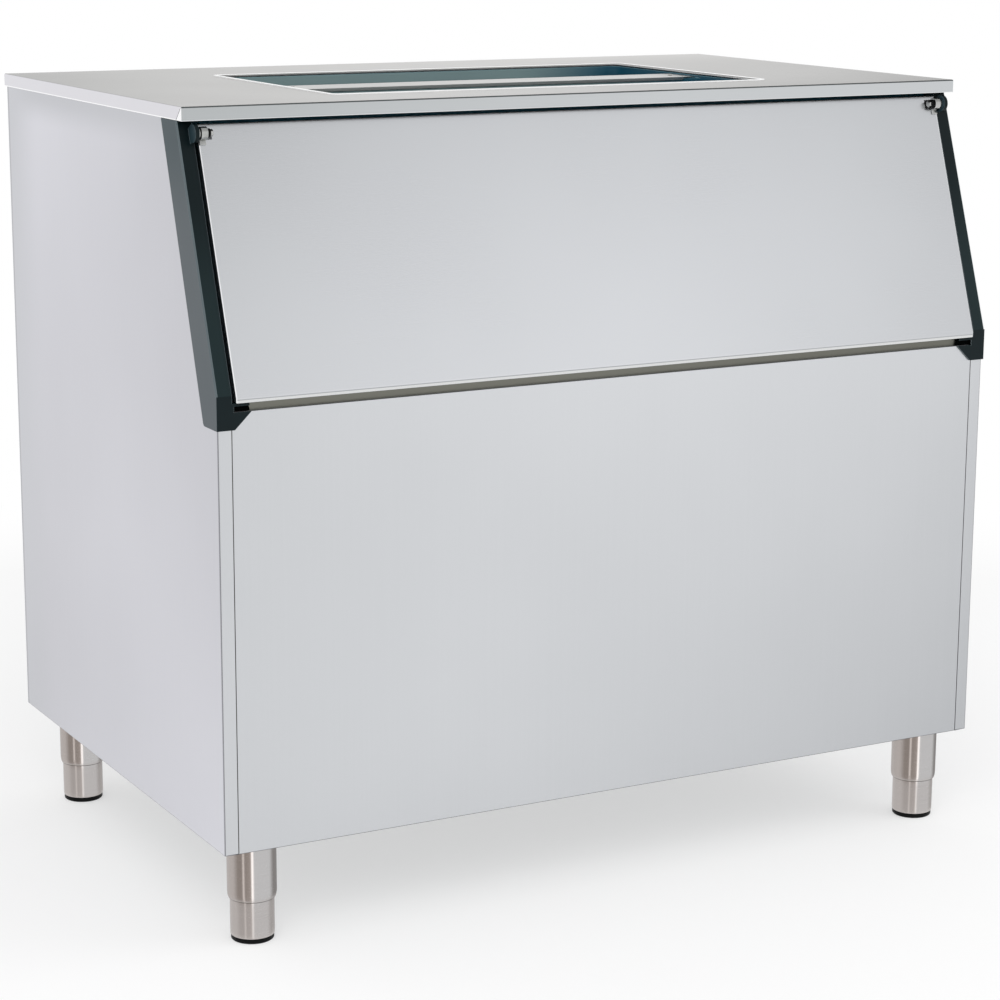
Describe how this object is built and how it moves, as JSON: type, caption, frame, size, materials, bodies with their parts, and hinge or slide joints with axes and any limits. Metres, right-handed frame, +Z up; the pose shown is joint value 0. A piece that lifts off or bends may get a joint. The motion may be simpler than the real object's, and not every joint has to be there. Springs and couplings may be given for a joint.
{
  "type": "ice storage bin",
  "caption": "Insulated stainless ice storage bin on adjustable legs, with a lift-up sloping door between moulded trims and a drop opening in its top for an ice machine.",
  "frame": {"origin": "on the floor, under the middle of the whole object's box", "axes": "+Z up, -Y to the front where the door is, +X to the right seen from the front"},
  "size_m": [1.254, 0.825, 1.1445],
  "materials": {
    "panel_steel": "fine brushed stainless steel",
    "door_steel": "stainless steel brushed across",
    "top_steel": "fine brushed stainless steel",
    "sill_steel": "dull stainless steel",
    "hardware_steel": "turned stainless steel",
    "leg_steel": "satin stainless tube",
    "galvanised": "galvanised sheet",
    "dark_plastic": "dark grey-green moulding, satin",
    "black_plastic": "matt",
    "teal_plastic": "satin food-grade liner",
    "white_plastic": "satin",
    "gasket_rubber": "matt",
    "foam": "rigid polyurethane foam"
  },
  "bodies": {
    "cabinet": {"right_side_panel": "panel_steel", "left_side_panel": "panel_steel", "front_panel": "panel_steel", "back_panel": "galvanised", "base_panel": "galvanised", "drain_plate": "galvanised", "top_panel": "top_steel", "opening_edge_strip": "white_plastic", "centre_rail": "hardware_steel", "right_rail_screw": "hardware_steel", "left_rail_screw": "hardware_steel", "throat_liner": "teal_plastic", "liner_tub": "teal_plastic", "insulation_foam": "foam", "door_sill": "sill_steel", "right_door_trim": "dark_plastic", "left_door_trim": "dark_plastic", "right_hinge_pin": "hardware_steel", "left_hinge_pin": "hardware_steel", "right_hinge_washer": "hardware_steel", "left_hinge_washer": "hardware_steel", "drain_spigot": "white_plastic", "drain_nut": "white_plastic", "drain_strainer": "hardware_steel", "right_back_screw_1": "hardware_steel", "left_back_screw_1": "hardware_steel", "right_back_screw_2": "hardware_steel", "left_back_screw_2": "hardware_steel", "right_back_screw_3": "hardware_steel", "left_back_screw_3": "hardware_steel", "right_front_leg": "leg_steel", "left_front_leg": "leg_steel", "right_rear_leg": "leg_steel", "left_rear_leg": "leg_steel"},
    "door": {"door_skin": "door_steel", "door_foam": "foam", "door_inner_panel": "teal_plastic", "door_gasket": "gasket_rubber", "right_hinge_strap": "hardware_steel", "left_hinge_strap": "hardware_steel", "right_hinge_bush": "black_plastic", "left_hinge_bush": "black_plastic"},
    "right_front_foot_body": {"right_front_foot": "leg_steel", "right_front_foot_pad": "black_plastic"},
    "left_front_foot_body": {"left_front_foot": "leg_steel", "left_front_foot_pad": "black_plastic"},
    "right_rear_foot_body": {"right_rear_foot": "leg_steel", "right_rear_foot_pad": "black_plastic"},
    "left_rear_foot_body": {"left_rear_foot": "leg_steel", "left_rear_foot_pad": "black_plastic"}
  },
  "joints": [
    {"name": "door_hinge", "type": "hinge", "parent": "cabinet", "child": "door", "pos_m": [0, -0.30247, 1.1075], "axis": [-1, 0, 0], "range_deg": [0, 165]},
    {"name": "right_front_foot_screw", "type": "slide", "parent": "cabinet", "child": "right_front_foot_body", "axis": [0, 0, -1], "range_m": [0, 0.03]},
    {"name": "left_front_foot_screw", "type": "slide", "parent": "cabinet", "child": "left_front_foot_body", "axis": [0, 0, -1], "range_m": [0, 0.03]},
    {"name": "right_rear_foot_screw", "type": "slide", "parent": "cabinet", "child": "right_rear_foot_body", "axis": [0, 0, -1], "range_m": [0, 0.03]},
    {"name": "left_rear_foot_screw", "type": "slide", "parent": "cabinet", "child": "left_rear_foot_body", "axis": [0, 0, -1], "range_m": [0, 0.03]}
  ]
}
